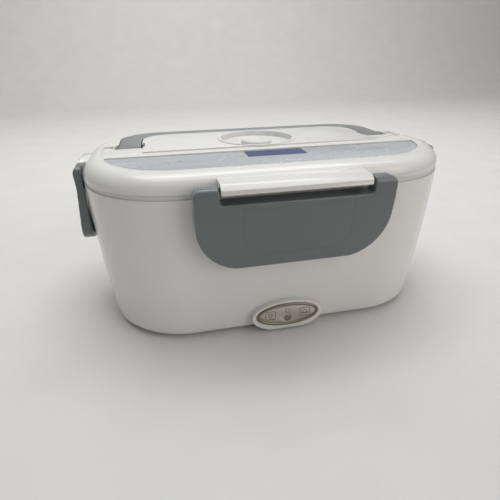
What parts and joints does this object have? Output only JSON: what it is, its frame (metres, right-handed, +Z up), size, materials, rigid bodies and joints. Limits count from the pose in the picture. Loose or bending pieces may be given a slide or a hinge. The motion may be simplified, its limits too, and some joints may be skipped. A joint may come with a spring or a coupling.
{
  "type": "electric lunch box",
  "caption": "Electric lunch box: white heated body, lift-off lid held by clip latches, folding carry handle, clear cutlery cover, steam plug and lift-out steel food tray.",
  "frame": {"origin": "centre of the footprint, on the table under the rubber feet", "axes": "+X along the length towards the car-lead socket, +Z up, -Y towards the indicator on the front"},
  "size_m": [0.236, 0.1624, 0.1043],
  "materials": {
    "white_plastic": "glossy off-white moulded plastic",
    "grey_plastic": "satin cool grey plastic",
    "clear_plastic": "clear moulded plastic",
    "tray_steel": "drawn stainless sheet",
    "screw_steel": "plain steel",
    "heater_aluminium": "machined aluminium",
    "heater_ceramic": "insulated heating element",
    "thermostat_case": "dark moulded case",
    "board": "green circuit board",
    "lamp": "smoky light pipe",
    "bezel": "dark bronze trim ring",
    "face_plate": "pale silver plate",
    "socket_plastic": "black socket moulding",
    "pin_brass": "plated contact pins",
    "wire": "insulated wire",
    "silicone": "translucent silicone",
    "foot_rubber": "soft rubber",
    "label": "plain blue adhesive label"
  },
  "bodies": {
    "housing": {"outer_shell": "white_plastic", "inner_well": "white_plastic", "base_plate": "white_plastic", "rubber_feet": "foot_rubber", "base_screws": "screw_steel", "heating_plate": "heater_aluminium", "ptc_heater": "heater_ceramic", "heater_bracket": "screw_steel", "bracket_screws": "screw_steel", "thermostat": "thermostat_case", "thermal_fuse": "heater_ceramic", "circuit_board": "board", "light_pipe": "lamp", "indicator_bezel": "bezel", "indicator_plate": "face_plate", "mains_inlet": "socket_plastic", "car_inlet": "socket_plastic", "inlet_pins": "pin_brass", "wiring": "wire"},
    "tray": {"food_tray": "tray_steel"},
    "side_dish": {"side_box": "white_plastic"},
    "side_dish_lid": {"side_box_lid": "clear_plastic"},
    "lid": {"lid_shell": "white_plastic", "lid_liner": "white_plastic", "lid_seal": "silicone", "handle_pins": "screw_steel"},
    "steam_plug": {"vent_plug": "silicone"},
    "handle": {"carry_handle": "grey_plastic"},
    "cover": {"cutlery_cover": "clear_plastic", "cover_label": "label"},
    "latch_front": {"front_latch": "grey_plastic"},
    "latch_back": {"back_latch": "grey_plastic"},
    "latch_left": {"left_latch": "grey_plastic"},
    "latch_right": {"right_latch": "grey_plastic"}
  },
  "joints": [
    {"name": "lid_lift", "type": "slide", "parent": "housing", "child": "lid", "axis": [0, 0, 1], "range_m": [0, 0.18]},
    {"name": "tray_lift", "type": "slide", "parent": "housing", "child": "tray", "axis": [0, 0, 1], "range_m": [0, 0.09]},
    {"name": "side_box_lift", "type": "slide", "parent": "tray", "child": "side_dish", "axis": [0, 0, 1], "range_m": [0, 0.054]},
    {"name": "side_box_lid_lift", "type": "slide", "parent": "side_dish", "child": "side_dish_lid", "axis": [0, 0, 1], "range_m": [0, 0.018]},
    {"name": "front_latch_swing", "type": "hinge", "parent": "lid", "child": "latch_front", "pos_m": [0, -0.07525, 0.0973], "axis": [-1, 0, 0], "range_deg": [0, 120]},
    {"name": "back_latch_swing", "type": "hinge", "parent": "lid", "child": "latch_back", "pos_m": [0, 0.07525, 0.0973], "axis": [1, 0, 0], "range_deg": [0, 120]},
    {"name": "left_latch_swing", "type": "hinge", "parent": "lid", "child": "latch_left", "pos_m": [-0.1134, 0, 0.0973], "axis": [0, 1, 0], "range_deg": [0, 120]},
    {"name": "right_latch_swing", "type": "hinge", "parent": "lid", "child": "latch_right", "pos_m": [0.1134, 0, 0.0973], "axis": [0, -1, 0], "range_deg": [0, 120]},
    {"name": "handle_swing", "type": "hinge", "parent": "lid", "child": "handle", "pos_m": [0, 0.0079, 0.1], "axis": [1, 0, 0], "range_deg": [0, 95]},
    {"name": "cover_swing", "type": "hinge", "parent": "lid", "child": "cover", "pos_m": [0, -0.0206, 0.1016], "axis": [-1, 0, 0], "range_deg": [0, 100]},
    {"name": "steam_plug_lift", "type": "slide", "parent": "lid", "child": "steam_plug", "axis": [0, 0, 1], "range_m": [0, 0.005]}
  ],
  "couplings": [
    {"joint": "tray_lift", "follows": "lid_lift", "ratio": 0.5},
    {"joint": "side_box_lift", "follows": "lid_lift", "ratio": 0.3},
    {"joint": "side_box_lid_lift", "follows": "lid_lift", "ratio": 0.1}
  ]
}
